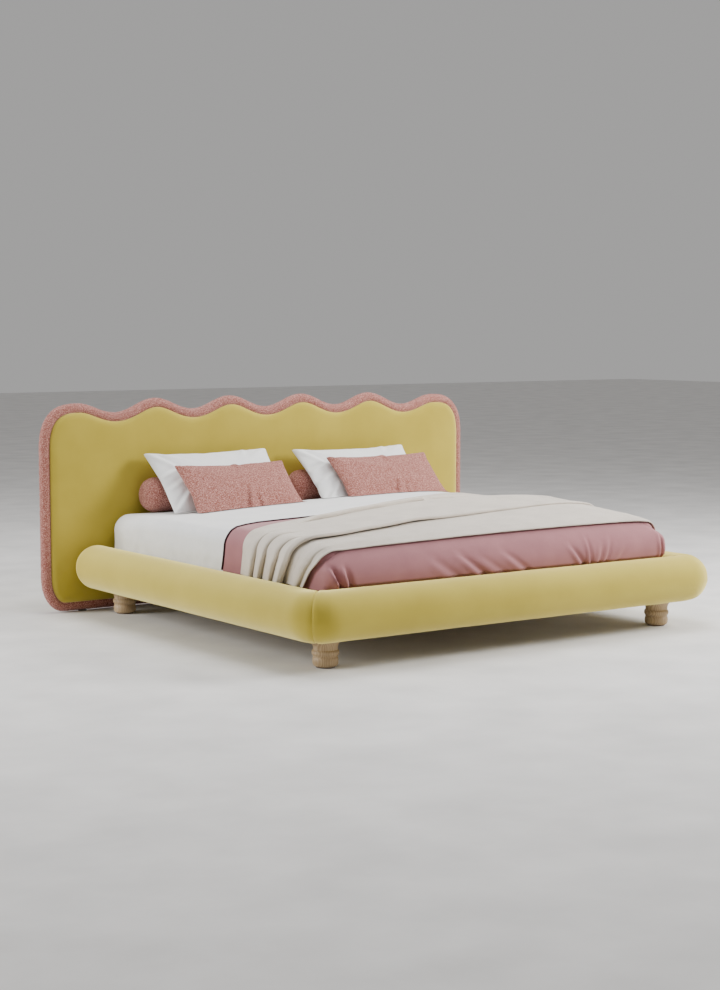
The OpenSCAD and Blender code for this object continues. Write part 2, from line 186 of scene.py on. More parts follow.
class Shader:
    """A node material with a short way to add and join nodes."""

    def __init__(self, name, **sockets):
        self.mat = bpy.data.materials.new(name)
        self.mat.use_nodes = True
        self.tree = self.mat.node_tree
        self.bsdf = self.tree.nodes["Principled BSDF"]
        self.where = self.add("ShaderNodeTexCoord").outputs["Object"]
        for key, value in sockets.items():
            self.bsdf.inputs[key.replace("_", " ")].default_value = value

    def add(self, kind, inputs=(), **settings):
        node = self.tree.nodes.new(kind)
        for key, value in settings.items():
            setattr(node, key, value)
        for key, value in dict(inputs).items():
            if isinstance(value, bpy.types.NodeSocket):
                self.tree.links.new(value, node.inputs[key])
            else:
                node.inputs[key].default_value = value
        return node

    def scaled(self, x, y, z):
        node = self.add("ShaderNodeMapping", {"Vector": self.where, "Scale": (x, y, z)})
        return node.outputs["Vector"]

    def noise(self, scale, detail=2.0, rough=0.5, vector=None):
        return self.add("ShaderNodeTexNoise", {
            "Vector": vector or self.where, "Scale": scale, "Detail": detail, "Roughness": rough,
        }).outputs["Fac"]

    def cells(self, scale):
        node = self.add("ShaderNodeTexVoronoi", {"Vector": self.where, "Scale": scale})
        return node.outputs["Distance"]

    def bands(self, scale, vector, distortion, direction="X", detail=2.0):
        return self.add("ShaderNodeTexWave", {
            "Vector": vector, "Scale": scale, "Distortion": distortion, "Detail": detail,
        }, bands_direction=direction).outputs["Fac"]

    def math(self, operation, a, b):
        return self.add("ShaderNodeMath", {0: a, 1: b}, operation=operation).outputs[0]

    def ramp(self, fac, *stops):
        node = self.add("ShaderNodeValToRGB", {"Fac": fac})
        elements = node.color_ramp.elements
        while len(elements) < len(stops):
            elements.new(0.5)
        for element, (place, color) in zip(elements, stops):
            element.position = place
            element.color = (*color, 1)
        return node.outputs["Color"]

    def color(self, socket):
        self.tree.links.new(socket, self.bsdf.inputs["Base Color"])

    def rough(self, fac, low, high):
        node = self.add("ShaderNodeMapRange", {"Value": fac, "To Min": low, "To Max": high})
        self.tree.links.new(node.outputs["Result"], self.bsdf.inputs["Roughness"])

    def bump(self, *layers):
        """Each layer is (height, strength, distance in metres), coarse first."""
        last = None
        for height, strength, distance in layers:
            values = {"Height": height, "Strength": strength, "Distance": distance}
            if last:
                values["Normal"] = last
            last = self.add("ShaderNodeBump", values).outputs["Normal"]
        self.tree.links.new(last, self.bsdf.inputs["Normal"])


def velvet():
    s = Shader("velvet_olive", Roughness=0.8, Specular_IOR_Level=0.12, Sheen_Weight=0.15,
               Sheen_Roughness=0.5, Sheen_Tint=(1.0, 0.93, 0.55, 1))
    nap = s.noise(5.0, 3.0)
    pile = s.noise(700.0, 2.0)
    s.color(s.ramp(nap, (0.3, (0.385, 0.296, 0.028)), (0.7, (0.43, 0.334, 0.038))))
    s.bump((nap, 0.12, 0.004), (pile, 0.35, 0.0006))
    fuzz = s.add("ShaderNodeBsdfSheen", {"Color": (0.72, 0.67, 0.36, 1), "Roughness": 0.50})
    both = s.add("ShaderNodeAddShader", {0: s.bsdf.outputs[0], 1: fuzz.outputs[0]})
    s.tree.links.new(both.outputs[0], s.tree.nodes["Material Output"].inputs["Surface"])
    return s.mat


def boucle(name, deep, pale):
    s = Shader(name, Roughness=0.95, Specular_IOR_Level=0.1, Sheen_Weight=0.25,
               Sheen_Roughness=0.6, Sheen_Tint=(1.0, 0.85, 0.82, 1))
    curls = s.cells(250.0)
    fuzz = s.noise(900.0, 3.0, 0.7)
    patches = s.noise(175.0, 3.0, 0.7)
    # The ramp paints the pits between the loops darker (painted shade) and the loop tips paler,
    # with random patches of tone mixed in.
    tone = s.math("ADD", s.math("MULTIPLY", curls, 0.65), s.math("MULTIPLY", patches, 0.75))
    s.color(s.ramp(tone, (0.44, pale), (0.74, deep)))
    s.bump((s.math("SUBTRACT", 1.0, curls), 1.0, 0.004), (fuzz, 0.6, 0.001))
    return s.mat


def cotton(name, shade, light, weave=900.0, sheen=0.15, strength=0.25):
    s = Shader(name, Roughness=0.9, Specular_IOR_Level=0.15, Sheen_Weight=sheen,
               Sheen_Roughness=0.5)
    warp, weft, rise = (s.bands(weave, s.where, 1.0, axis) for axis in "XYZ")
    threads = s.math("ADD", s.math("ADD", warp, weft), rise)
    crumple = s.noise(14.0, 4.0, 0.55)
    s.color(s.ramp(s.noise(9.0, 3.0), (0.3, shade), (0.7, light)))
    s.bump((crumple, 0.12, 0.006), (threads, strength, 0.0003))
    return s.mat


def wood(name, dark, light, grain=(60.0, 60.0, 5.0), roughness=0.5, rings=6.0):
    s = Shader(name, Roughness=roughness, Specular_IOR_Level=0.35)
    along = s.scaled(*grain)
    figure = s.bands(rings, s.scaled(*(g * 0.12 for g in grain)), 6.0, "X", 3.0)
    fibre = s.noise(3.0, 6.0, 0.65, along)
    tone = s.math("ADD", s.math("MULTIPLY", figure, 0.45), s.math("MULTIPLY", fibre, 0.6))
    s.color(s.ramp(tone, (0.25, dark), (0.8, light)))
    s.rough(fibre, roughness - 0.08, roughness + 0.12)
    s.bump((fibre, 0.25, 0.0006))
    return s.mat


def plain(name, color, metallic, roughness, grain_scale=400.0, strength=0.2):
    s = Shader(name, Metallic=metallic, Roughness=roughness)
    grain = s.noise(grain_scale, 4.0)
    dark = tuple(c * 0.85 for c in color)
    s.color(s.ramp(grain, (0.3, dark), (0.7, color)))
    s.rough(grain, roughness - 0.08, roughness + 0.1)
    s.bump((grain, strength, 0.0003))
    return s.mat


VELVET = velvet()
BOUCLE = boucle("boucle_pink", (0.29, 0.085, 0.063), (0.85, 0.46, 0.39))
WHITE = cotton("cotton_white", (0.76, 0.765, 0.765), (0.82, 0.82, 0.815))
MAUVE = cotton("cotton_mauve", (0.325, 0.138, 0.150), (0.37, 0.160, 0.172), sheen=0.2)
# Near-black cotton for the cord on the duvet's head edge: painted shadow of the gap under that
# edge.
PAINTED_SHADOW_DARK = cotton("cotton_painted_shadow", (0.035, 0.016, 0.020), (0.045, 0.020, 0.026), sheen=0.0)
CREAM = cotton("wool_cream", (0.595, 0.535, 0.460), (0.675, 0.61, 0.53), weave=500.0, sheen=0.2,
               strength=0.45)
TICKING = cotton("mattress_ticking", (0.66, 0.66, 0.65), (0.72, 0.72, 0.70), weave=300.0)
TURNED = wood("wood_turned_oak", (0.33, 0.22, 0.115), (0.50, 0.37, 0.22))
PINE = wood("wood_pine", (0.55, 0.40, 0.22), (0.74, 0.60, 0.40), grain=(40.0, 5.0, 40.0))
PLY = wood("wood_plywood", (0.58, 0.45, 0.28), (0.72, 0.60, 0.42), grain=(6.0, 50.0, 50.0))
STEEL = plain("steel_zinc", (0.55, 0.55, 0.56), 0.9, 0.38)
PLASTIC = plain("plastic_black", (0.03, 0.03, 0.03), 0.0, 0.5)
FELT = plain("felt_brown", (0.12, 0.10, 0.085), 0.0, 0.95, 900.0, 0.6)


# --- headboard

WAVE_LENGTH = 0.4625
WAVE_HEIGHT = 0.0325
WAVE_DROP = 0.022
MEAN_TOP = 1.070
TOP_CORNER = (0.205, 0.240)
LOW_CORNER = (0.120, 0.180)
BOARD_LOW = span("headboard_board")[0]
PANEL_LOW, PANEL_HIGH = span("headboard_panel")
ROLL_LOW, ROLL_HIGH = span("headboard_border_roll")
COVER_LOW, COVER_HIGH = span("headboard_back_cover")
FACE_Y = PANEL_LOW[1]
ROLL_R = (ROLL_HIGH[1] - ROLL_LOW[1]) / 2
ROLL_Y = (ROLL_HIGH[1] + ROLL_LOW[1]) / 2
PANEL_INSET = ROLL_HIGH[0] - PANEL_HIGH[0]


def headboard_edge(count):
    """The border's outer edge as (x, z) points at even steps, counter-clockwise from the foot."""
    half_w = ROLL_HIGH[0]
    crest_x = half_w - TOP_CORNER[0]

    def top(x):
        fall = WAVE_DROP * (np.abs(x) / crest_x) ** 4
        return MEAN_TOP - fall - WAVE_HEIGHT * np.cos(2 * math.pi * x / WAVE_LENGTH)

    low = ROLL_LOW[2]
    turn = np.radians(np.linspace(0, 90, 40))
    foot_x = half_w - LOW_CORNER[0]
    x = np.r_[np.linspace(0, foot_x, 60), foot_x + LOW_CORNER[0] * np.sin(turn), half_w, half_w,
              crest_x + TOP_CORNER[0] * np.cos(turn) ** 0.8, np.linspace(crest_x, 0, 400)]
    z = np.r_[np.full(60, low), low + LOW_CORNER[1] * (1 - np.cos(turn)), 0.35, 0.70,
              top(crest_x) - TOP_CORNER[1] * (1 - np.sin(turn) ** 0.8), top(x[-400:])]
    half = np.column_stack([x, z])
    full = np.vstack([half, half[::-1] * (-1, 1)])
    steps = np.r_[0, np.cumsum(np.linalg.norm(np.diff(full, axis=0), axis=1))]
    at = np.linspace(0, steps[-1], count, endpoint=False)
    edge = np.column_stack([np.interp(at, steps, full[:, 0]), np.interp(at, steps, full[:, 1])])
    return smooth_loop(edge, int(4 + count / 250))


def inward(edge):
    along = unit(np.roll(edge, -1, 0) - np.roll(edge, 1, 0))
    return np.column_stack([-along[:, 1], along[:, 0]])


def border_roll():
    count, sides = 1500, 40
    edge = headboard_edge(count)
    inner = inward(edge)
    core = edge + inner * ROLL_R
    turn = circle(sides)
    r = ROLL_R - LOOP_ROOM
    out = np.vstack([np.column_stack([np.cos(turn) * n[0], -np.sin(turn), np.cos(turn) * n[1]])
                     for n in inner])
    middle = np.repeat(np.column_stack([core[:, 0], np.full(count, ROLL_Y), core[:, 1]]), sides, 0)
    points = middle + r * out
    bumps = 2.6 * loops(points, LOOP_SIZE) + 1.2 * wobble(points, 60.0) - 1.0
    points = points + out * (bumps * MM)[:, None]
    points[:, 2] = np.maximum(points[:, 2], 2.5 * MM)
    obj = make_object("border_roll", points, grid_faces(count, sides, True, True), BOUCLE,
                      "frame", ["headboard_border_roll"])


def padded_plate(name, inset, rings, rim_y, back_y, height, step, material, nodes):
    """A plate of the headboard's outline whose front swells by height(distance from its edge)."""
    edge = headboard_edge(700)
    inner = inward(edge)
    loops_in = [edge + inner * (inset + d) for d in rings]
    rim = loops_in[0]
    xs = np.arange(-1.4, 1.4, step)
    zs = np.arange(0.0, 1.15, step * 0.866)
    lattice = np.array([(x + (k % 2) * step / 2, z) for k, z in enumerate(zs) for x in xs])
    gap = edge_distance(lattice, rim)
    lattice = lattice[(gap > rings[-1] + step * 0.6) & inside(lattice, rim)]
    flat = np.vstack(loops_in + [lattice])
    n = len(rim)
    borders = [list(range(n))]
    result = geometry.delaunay_2d_cdt([Vector(p) for p in flat], [], borders, 1, 1e-7)
    plan = np.array([tuple(v) for v in result[0]])
    tris = [tuple(f) for f in result[2]]
    dist = edge_distance(plan, rim)
    dist[:n] = 0
    front = np.column_stack([plan[:, 0], rim_y - height(dist, plan), plan[:, 1]])
    back = np.column_stack([plan[:, 0], np.full(len(plan), back_y), plan[:, 1]])
    m = len(plan)
    faces = tris + [(m + c, m + b, m + a) for a, b, c in tris]
    faces += [(i, m + i, m + (i + 1) % n, (i + 1) % n) for i in range(n)]
    return make_object(name, np.vstack([front, back]), faces, material, "frame", nodes)


def edge_distance(points, rim):
    a, b = rim, np.roll(rim, -1, 0)
    ab = b - a
    best = np.full(len(points), np.inf)
    for s in range(0, len(rim), 50):
        part, seg = a[s:s + 50], ab[s:s + 50]
        rel = points[:, None, :] - part[None]
        t = np.clip((rel * seg).sum(-1) / (seg * seg).sum(-1), 0, 1)
        near = rel - t[..., None] * seg
        best = np.minimum(best, np.sqrt((near ** 2).sum(-1)).min(1))
    return best


def inside(points, rim):
    a, b = rim, np.roll(rim, -1, 0)
    hit = np.zeros(len(points), dtype=bool)
    for p, q in zip(a, b):
        cross = (p[1] > points[:, 1]) != (q[1] > points[:, 1])
        at = p[0] + (points[:, 1] - p[1]) * (q[0] - p[0]) / (q[1] - p[1] + 1e-12)
        hit ^= cross & (points[:, 0] < at)
    return hit


def front_panel():
    rim_y = ROLL_Y - ROLL_R + 6 * MM
    crown = 9 * MM
    round_w, round_h = 40 * MM, rim_y - FACE_Y - crown + 1 * MM

    def height(d, plan):
        t = 1 - np.clip(d / round_w, 0, 1)
        edge = round_h * (1 - t ** 2.3) ** (1 / 2.3)
        soft = 1 - np.exp(-d / 0.075)
        ripple = 0.8 * MM * wobble(np.column_stack([plan, 0 * d]), 2.2)
        return edge + crown * soft + ripple * np.clip(d / 0.05, 0, 1)

    rings = np.array([0, 0.7, 2, 4, 7, 11, 16, 22, 29, 37, 46, 56]) * MM
    panel = padded_plate("front_panel", PANEL_INSET, rings, rim_y, BOARD_LOW[1] - 0.5 * MM, height,
                         15 * MM, VELVET, ["headboard_panel"])


def back_cover():
    inset = ROLL_HIGH[0] - COVER_HIGH[0] - 12 * MM
    rings = np.array([0, 6, 14]) * MM
    padded_plate("back_cover", inset, rings, COVER_LOW[1] - 3 * MM, COVER_HIGH[1],
                 lambda d, plan: 0 * d, 40 * MM, VELVET, ["headboard_back_cover"])


# --- rails

FOOT_RAIL_LOW, FOOT_RAIL_HIGH = span("foot_rail_roll")
SIDE_LOW, SIDE_HIGH = span("side_rail_right_roll")
RAIL_R = (SIDE_HIGH[2] - SIDE_LOW[2]) / 2
RAIL_Z = (SIDE_HIGH[2] + SIDE_LOW[2]) / 2
RAIL_CUT = SIDE_HIGH[0] - SIDE_LOW[0] - RAIL_R
AXIS_X = SIDE_HIGH[0] - RAIL_R
INNER_X = SIDE_LOW[0]
AXIS_Y = FOOT_RAIL_LOW[1] + RAIL_R
INNER_Y = FOOT_RAIL_HIGH[1]
BEND_R = 56 * MM
CORNER_X = AXIS_X - BEND_R
CORNER_Y = AXIS_Y + BEND_R
HEAD_END_Y = SIDE_HIGH[1]
HEAD_END_R = 85 * MM
RAIL_SIDES = 128


def rail_section(r):
    """Offsets (outward, up) round the rail, starting at the middle of its flat inner side."""
    turn = math.pi + circle(RAIL_SIDES)
    soft = 4 * MM
    out = r * np.cos(turn)
    out = -RAIL_CUT + soft * np.logaddexp(0, (out + RAIL_CUT) / soft)
    return out, r * np.sin(turn), turn


def seam_dip(m, turn):
    """How far the cover is pulled in at distance m from a sewn mitre."""
    stitch = 3.2 * MM * np.exp(-(m / (4.5 * MM)) ** 2)
    swell = -1.0 * MM * np.exp(-((m - 22 * MM) / (12 * MM)) ** 2)
    pucker = 0.9 * MM * np.sin(turn * 9 + 1.3 * np.sin(turn * 4)) * np.exp(-m / (28 * MM))
    return stitch + swell + pucker * (m > 0)


def upholstery_lumps(points):
    return 1.1 * MM * wobble(points, 3.2) + 0.5 * MM * wobble(points, 11.0, 3.0)


def to_mitre(out, straight, flat):
    """Length of each strand of a rail up to the mitre: bent outside the corner axis, else flat."""
    return np.where(out > -BEND_R, straight + (BEND_R + out) * math.pi / 4, flat + out + RAIL_CUT)


def sewn(out, up, turn, left):
    """The section pulled in by the mitre seam, which is left away."""
    dip = seam_dip(left, turn)
    out = np.where(out > -RAIL_CUT + 1 * MM, out - dip * np.cos(turn), out)
    return out, up - dip * np.sin(turn)


def round_bend(out, s, straight):
    """Radius and angle round the corner's axis, and whether a strand has reached the bend."""
    bent = (out > -BEND_R) & (s > straight)
    reach = np.maximum(BEND_R + out, 1e-6)
    return bent, reach, np.where(bent, (s - straight) / reach, 0)


def side_rail(side):
    rows = [("disc", share) for share in (0.0, 0.35, 0.7)]
    rows += [("dome", angle) for angle in np.radians(np.linspace(0, 84, 13))]
    body = np.r_[np.linspace(0, 0.95, 84), np.linspace(0.955, 0.985, 9), np.linspace(0.987, 1, 10)]
    rows += [("length", t) for t in body]
    straight = HEAD_END_Y - CORNER_Y
    points = []
    for kind, value in rows:
        r, s = RAIL_R, 0.0
        if kind == "disc":
            r = (RAIL_R - HEAD_END_R) * value
        elif kind == "dome":
            r = RAIL_R - HEAD_END_R * (1 - math.sin(value))
            s = HEAD_END_R * (1 - math.cos(value))
        out, up, turn = rail_section(r)
        if kind == "length":
            total = to_mitre(out, straight, HEAD_END_Y - INNER_Y)
            s = HEAD_END_R + (total - HEAD_END_R) * value
            out, up = sewn(out, up, turn, total - s)
        s = s + 0 * out
        bent, reach, angle = round_bend(out, s, straight)
        x = np.where(bent, CORNER_X + reach * np.cos(angle), AXIS_X + out)
        y = np.where(bent, CORNER_Y - reach * np.sin(angle), HEAD_END_Y - s)
        points.append(np.column_stack([x, y, RAIL_Z + up]))
    name = f"side_rail_{'left' if side < 0 else 'right'}"
    finish_rail(name, np.vstack(points), len(rows), (AXIS_X, 0, RAIL_Z), 1, side)


def foot_rail():
    half = np.r_[np.linspace(0, 0.93, 50), np.linspace(0.935, 0.975, 10), np.linspace(0.979, 1, 12)]
    places = np.r_[-half[:0:-1], half]
    points = []
    for t in places:
        out, up, turn = rail_section(RAIL_R)
        total = to_mitre(out, CORNER_X, INNER_X)
        s = total * abs(t)
        out, up = sewn(out, up, turn, total - s)
        bent, reach, angle = round_bend(out, s, CORNER_X)
        x = np.where(bent, CORNER_X + reach * np.sin(angle), s)
        y = np.where(bent, CORNER_Y - reach * np.cos(angle), AXIS_Y - out)
        points.append(np.column_stack([x * np.sign(t), y, RAIL_Z + up]))
    finish_rail("foot_rail", np.vstack(points), len(places), (0, AXIS_Y, RAIL_Z), 0)


def finish_rail(name, points, rows, centre, along, side=1):
    """Gives a rail's grid its lumps and ends; along is the axis the rail runs on."""
    away = points - centre
    away[:, along] = 0
    size = np.linalg.norm(away, axis=1)[:, None]
    points = points + away / np.maximum(size, 0.02) * upholstery_lumps(points)[:, None]
    faces = grid_faces(rows, RAIL_SIDES, wrap_cols=True)
    points = cap_tube(points, faces, rows, RAIL_SIDES)
    obj = make_object(name, points * (side, 1, 1), faces, VELVET, "frame",
                      [f"{name}_roll"])
    recalculate_normals(obj)


def recalculate_normals(obj):
    bm = bmesh.new()
    bm.from_mesh(obj.data)
    bmesh.ops.remove_doubles(bm, verts=bm.verts, dist=1e-6)
    bmesh.ops.recalc_face_normals(bm, faces=bm.faces)
    bm.to_mesh(obj.data)
    bm.free()
    obj.data.update()


# --- feet

def foot_outline():
    """(radius, height) up the turned foot: round bottom, two beads, a hollow neck and a flare."""
    def bead(z, half, r, rise):
        angles = np.radians(np.linspace(-80, 80, 13))
        return [(r + rise * math.cos(a), z + half * math.sin(a)) for a in angles]

    line = [(0.0, 3.0), (40.0, 3.0), (44.5, 4.2), (48.5, 7.0)]
    line += bead(27.5, 19.5, 49.5, 7.8)
    line += [(54.6, 49.0), (54.6, 51.0)]
    line += bead(65.5, 13.0, 52.5, 8.2)
    line += [(54.4, 80.5), (54.2, 84.0), (54.6, 90.0), (56.0, 97.0), (58.6, 104.0), (62.2, 110.5),
             (65.4, 115.5), (66.8, 119.0), (67.0, 124.0), (67.0, 149.5), (0.0, 149.5)]
    return np.array(line) * MM


def turned_foot(name):
    low, high = span(name)
    centre = (low + high) / 2
    line = foot_outline()
    sides = 96
    points = lathe(line, sides) + (centre[0], centre[1], 0)
    obj = make_object(f"turned_{name}", points, grid_faces(len(line), sides, wrap_cols=True),
                      TURNED, "frame", [name])
    recalculate_normals(obj)


# --- mattress and sheet

MATTRESS_LOW, MATTRESS_HIGH = span("mattress")
SHEET_LOW, SHEET_HIGH = span("fitted_sheet")
BED_TOP = SHEET_HIGH[2]


def skirt(rim, ring, first, rows, bottom_z, closed=True):
    """Rings of points from a rim straight down to bottom_z, numbered from first on, and quads."""
    points, faces, k = [], [], len(ring)
    for row in range(rows):
        level = rim.copy()
        level[:, 2] = rim[:, 2] + (bottom_z - rim[:, 2]) * ((row + 1) / rows)
        points.append(level)
        now = [first + row * k + j for j in range(k)]
        faces += ring_faces(ring, now, closed)
        ring = now
    return points, faces


def ring_faces(last, now, closed=True):
    k = len(last)
    return [(last[j], now[j], now[(j + 1) % k], last[(j + 1) % k])
            for j in range(k if closed else k - 1)]


def block_surface(low, high, corner_r, shoulder, crown, cells, side_rows):
    """Top and sides of a soft block as one grid: returns points, faces, top count, ring length."""
    half, mid = (high - low)[:2] / 2, (high + low)[:2] / 2
    arc = np.radians(np.linspace(0, 90, 9))
    edge = shoulder * (1 - np.cos(arc))

    def ticks(h):
        inner = np.linspace(-(h - shoulder), h - shoulder, cells + 1)
        return np.r_[-h + edge[:-1], inner, h - edge[:-1][::-1]]

    ux, uy = ticks(half[0]), ticks(half[1])
    gx, gy = np.meshgrid(ux, uy)
    px, py = round_corners(gx, gy, half, corner_r)
    q = plan_depth(px, py, half, corner_r)
    fall = shoulder - np.sqrt(np.maximum(shoulder ** 2 - np.maximum(shoulder - q, 0) ** 2, 0))
    dome = crown * (1 - (px / half[0]) ** 4) * (1 - (py / half[1]) ** 4)
    top_z = high[2] - crown - fall + dome
    m, n = gx.shape
    top = np.column_stack([px.ravel() + mid[0], py.ravel() + mid[1], top_z.ravel()])
    ring = ([j for j in range(n)] + [i * n + n - 1 for i in range(1, m)]
            + [(m - 1) * n + j for j in range(n - 2, -1, -1)]
            + [i * n for i in range(m - 2, 0, -1)])
    sides, side_faces = skirt(top[ring], ring, n * m, side_rows, low[2])
    return np.vstack([top] + sides), grid_faces(m, n) + side_faces, n * m, len(ring)


def round_corners(x, y, half, r):
    """Squeezes a rectangle's square corners into round ones."""
    ax, ay = np.abs(x), np.abs(y)
    cx, cy = half[0] - r, half[1] - r
    u = np.clip((ax - cx) / r, 0, 1)
    v = np.clip((ay - cy) / r, 0, 1)
    nx = np.where((u > 0) & (v > 0), cx + r * u * np.sqrt(1 - v * v / 2), ax)
    ny = np.where((u > 0) & (v > 0), cy + r * v * np.sqrt(1 - u * u / 2), ay)
    return np.sign(x) * nx, np.sign(y) * ny


def plan_depth(x, y, half, r):
    """Distance in plan from the rounded rectangle's edge, inwards."""
    ax, ay = np.abs(x), np.abs(y)
    cx, cy = half[0] - r, half[1] - r
    corner = r - np.hypot(np.maximum(ax - cx, 0), np.maximum(ay - cy, 0))
    flat = np.minimum(half[0] - ax, half[1] - ay)
    return np.maximum(np.where((ax > cx) & (ay > cy), corner, flat), 0)


def fitted_sheet():
    low, high = SHEET_LOW, SHEET_HIGH
    points, faces, top_n, k = block_surface(low, high, 62 * MM, 58 * MM, 0.0, 180, 26)
    points = settle(sheet_distance, points)
    points[:, 2] = np.maximum(points[:, 2], low[2])
    sides = points[top_n:]
    ring_step = 0.0102
    s = np.tile(np.arange(k), len(sides) // k) * ring_step
    down = (high[2] - sides[:, 2]) / (high[2] - low[2])
    line = np.column_stack([s, 0.2 * down, 0 * s])
    folds = 0.4 - 1.5 * np.abs(wobble(line, 12.0)) + 0.25 * wobble(line, 40.0, 5.0)
    depth = 7.0 * MM * np.clip((down - 0.25) / 0.45, 0, 1)
    away = sides[:, :2] - (low + high)[:2] / 2
    bigger = np.abs(away).max(1)[:, None]
    direction = np.where(np.abs(away) > bigger - 30 * MM, np.sign(away), 0)
    direction /= np.maximum(np.linalg.norm(direction, axis=1)[:, None], 1)
    sides[:, :2] += direction * (folds * depth - 0.5 * depth)[:, None]
    top = points[:top_n]
    top[:, 2] += 1.3 * MM * wobble(top, 3.0) + 0.6 * MM * wobble(top, 9.0, 2.0)
    obj = make_object("fitted_sheet_cloth", points, faces, WHITE, "mattress",
                      ["fitted_sheet"])
    apply_modifier(obj, "SOLIDIFY", thickness=2 * MM, offset=-1)


def mattress():
    low, high = MATTRESS_LOW, MATTRESS_HIGH
    points, faces, _, k = block_surface(low, high, 60 * MM, 45 * MM, 6 * MM, 60, 24)
    base = len(points)
    bottom = points[base - k:].copy()
    mid = (low + high) / 2
    last = list(range(base - k, base))
    hollow = 0.3 * MM
    for share, rise in ((0.985, 0), (0.95, hollow), (0.7, hollow), (0.35, hollow)):
        ring = bottom.copy()
        ring[:, :2] = mid[:2] + (bottom[:, :2] - mid[:2]) * share
        ring[:, 2] = low[2] + rise
        now = list(range(len(points), len(points) + k))
        faces += ring_faces(last, now)
        points, last = np.vstack([points, ring]), now
    faces += [(last[j], len(points), last[(j + 1) % k]) for j in range(k)]
    points = np.vstack([points, (mid[0], mid[1], low[2] + hollow)])
    outside = np.maximum(sheet_distance(points) + 8 * MM, 0) * (points[:, 2] > low[2] + 60 * MM)
    points -= slope(sheet_distance, points) * outside[:, None]
    obj = make_object("mattress_body", points, faces, TICKING, "mattress",
                      ["mattress"])
    recalculate_normals(obj)


# --- bedding surfaces

DUVET_LOW = span("duvet")[0]
DUVET_FOOT_Y = -0.998
DUVET_HALF = 1.0075
SHEET_GAP = 1.5 * MM
HEAD_SLANT = 32 * MM
DUVET_SHOULDER = 80 * MM
DUVET_FOOT_SHOULDER = 110 * MM
DROP_Z = 0.336


def ease(t):
    t = np.clip(t, 0, 1)
    return t * t * (3 - 2 * t)


def sheet_top(x, y):
    """Height of the made bed's top: a soft crown, fuller on the right than on the left."""
    x = np.clip(x, -1, 1)
    u, v = np.abs(x - 0.45), np.abs(y - 0.15)
    across = 1 - np.where(x < 0.45, (u / 1.45) ** 1.4, (u / 0.56) ** 4)
    along = 1 - np.where(y > 0.15, (v / 0.82) ** 6, (v / 1.15) ** 3)
    sunk = 12 * MM * ease((y - 0.5) / 0.3) * (1 - ease((x - 0.3) / 0.5))
    return BED_TOP + 3 * MM + 54 * MM * np.maximum(across, 0) * np.maximum(along, 0) - sunk


def duvet_top(x, y):
    loft = (9 + 20 * ease((x - 0.1) / 0.55)) * MM
    return sheet_top(x, y) + 8 * MM + loft * ease((0.06 - y) / 0.3) * (1 - ease((-0.2 - y) / 0.6))


def block_distance(p, half_x, low_y, high_y, corner_r, shoulder, top):
    """Signed distance to a block with round corners, round top edges and a curved top."""
    mid, half_y = (low_y + high_y) / 2, (high_y - low_y) / 2
    qx = np.abs(p[:, 0]) - half_x + corner_r
    qy = np.abs(p[:, 1] - mid) - half_y + corner_r
    d = np.hypot(np.maximum(qx, 0), np.maximum(qy, 0)) - corner_r
    d += np.minimum(np.maximum(qx, qy), 0)
    e = p[:, 2] - top(p[:, 0], p[:, 1])
    over = np.hypot(np.maximum(d + shoulder, 0), np.maximum(e + shoulder, 0))
    return over + np.minimum(np.maximum(d, e) + shoulder, 0) - shoulder


def sheet_distance(p):
    shoulder = (58 + 30 * ease((p[:, 1] - 0.72) / 0.18)) * MM
    return block_distance(p, SHEET_HIGH[0], SHEET_LOW[1], SHEET_HIGH[1], 66 * MM, shoulder,
                          sheet_top)


def duvet_distance(p):
    q = p.copy()
    foot = ease((-0.72 - p[:, 1]) / 0.2)
    q[:, 1] -= 26 * MM * ease((0.360 - p[:, 2]) / 0.026) * foot
    corner_r = 34 * MM + 120 * MM * ease((p[:, 2] - 0.40) / 0.14)
    shoulder = DUVET_SHOULDER + 65 * MM * foot
    lobe = ease((p[:, 0] - 0.8) / 0.15) * ease((-0.85 - p[:, 1]) / 0.1)
    q[:, 0] -= 30 * MM * lobe * ease((p[:, 2] - 0.345) / 0.02) * ease((0.54 - p[:, 2]) / 0.12)
    return block_distance(q, DUVET_HALF, DUVET_FOOT_Y, 1.6, corner_r, shoulder, duvet_top)


def duvet_head_y(x):
    return np.interp(x, (-1.0, -0.95, -0.85, -0.77, -0.65, -0.5, -0.3, 0.1, 0.9, 1.0),
                     (-0.135, -0.125, -0.065, -0.04, -0.05, -0.08, -0.08, 0.02, 0.05, 0.0))


def bed_distance(p):
    """The sheet with the duvet on it, with the step at the duvet's head edge smoothed."""
    a = np.maximum(duvet_distance(p), p[:, 1] - duvet_head_y(p[:, 0]))
    b = sheet_distance(p) - SHEET_GAP
    k = 30 * MM
    h = np.clip(0.5 + 0.5 * (b - a) / k, 0, 1)
    return b + (a - b) * h - k * h * (1 - h)


def slope(distance, p, step=0.5 * MM):
    out = np.empty_like(p)
    for axis in range(3):
        shift = np.zeros(3)
        shift[axis] = step
        out[:, axis] = distance(p + shift) - distance(p - shift)
    return unit(out)


def settle(distance, p, offset=0.0):
    """Moves points along the surface's slope until they are offset from it."""
    for _ in range(6):
        p = p - slope(distance, p) * (distance(p) - offset)[:, None]
    return p


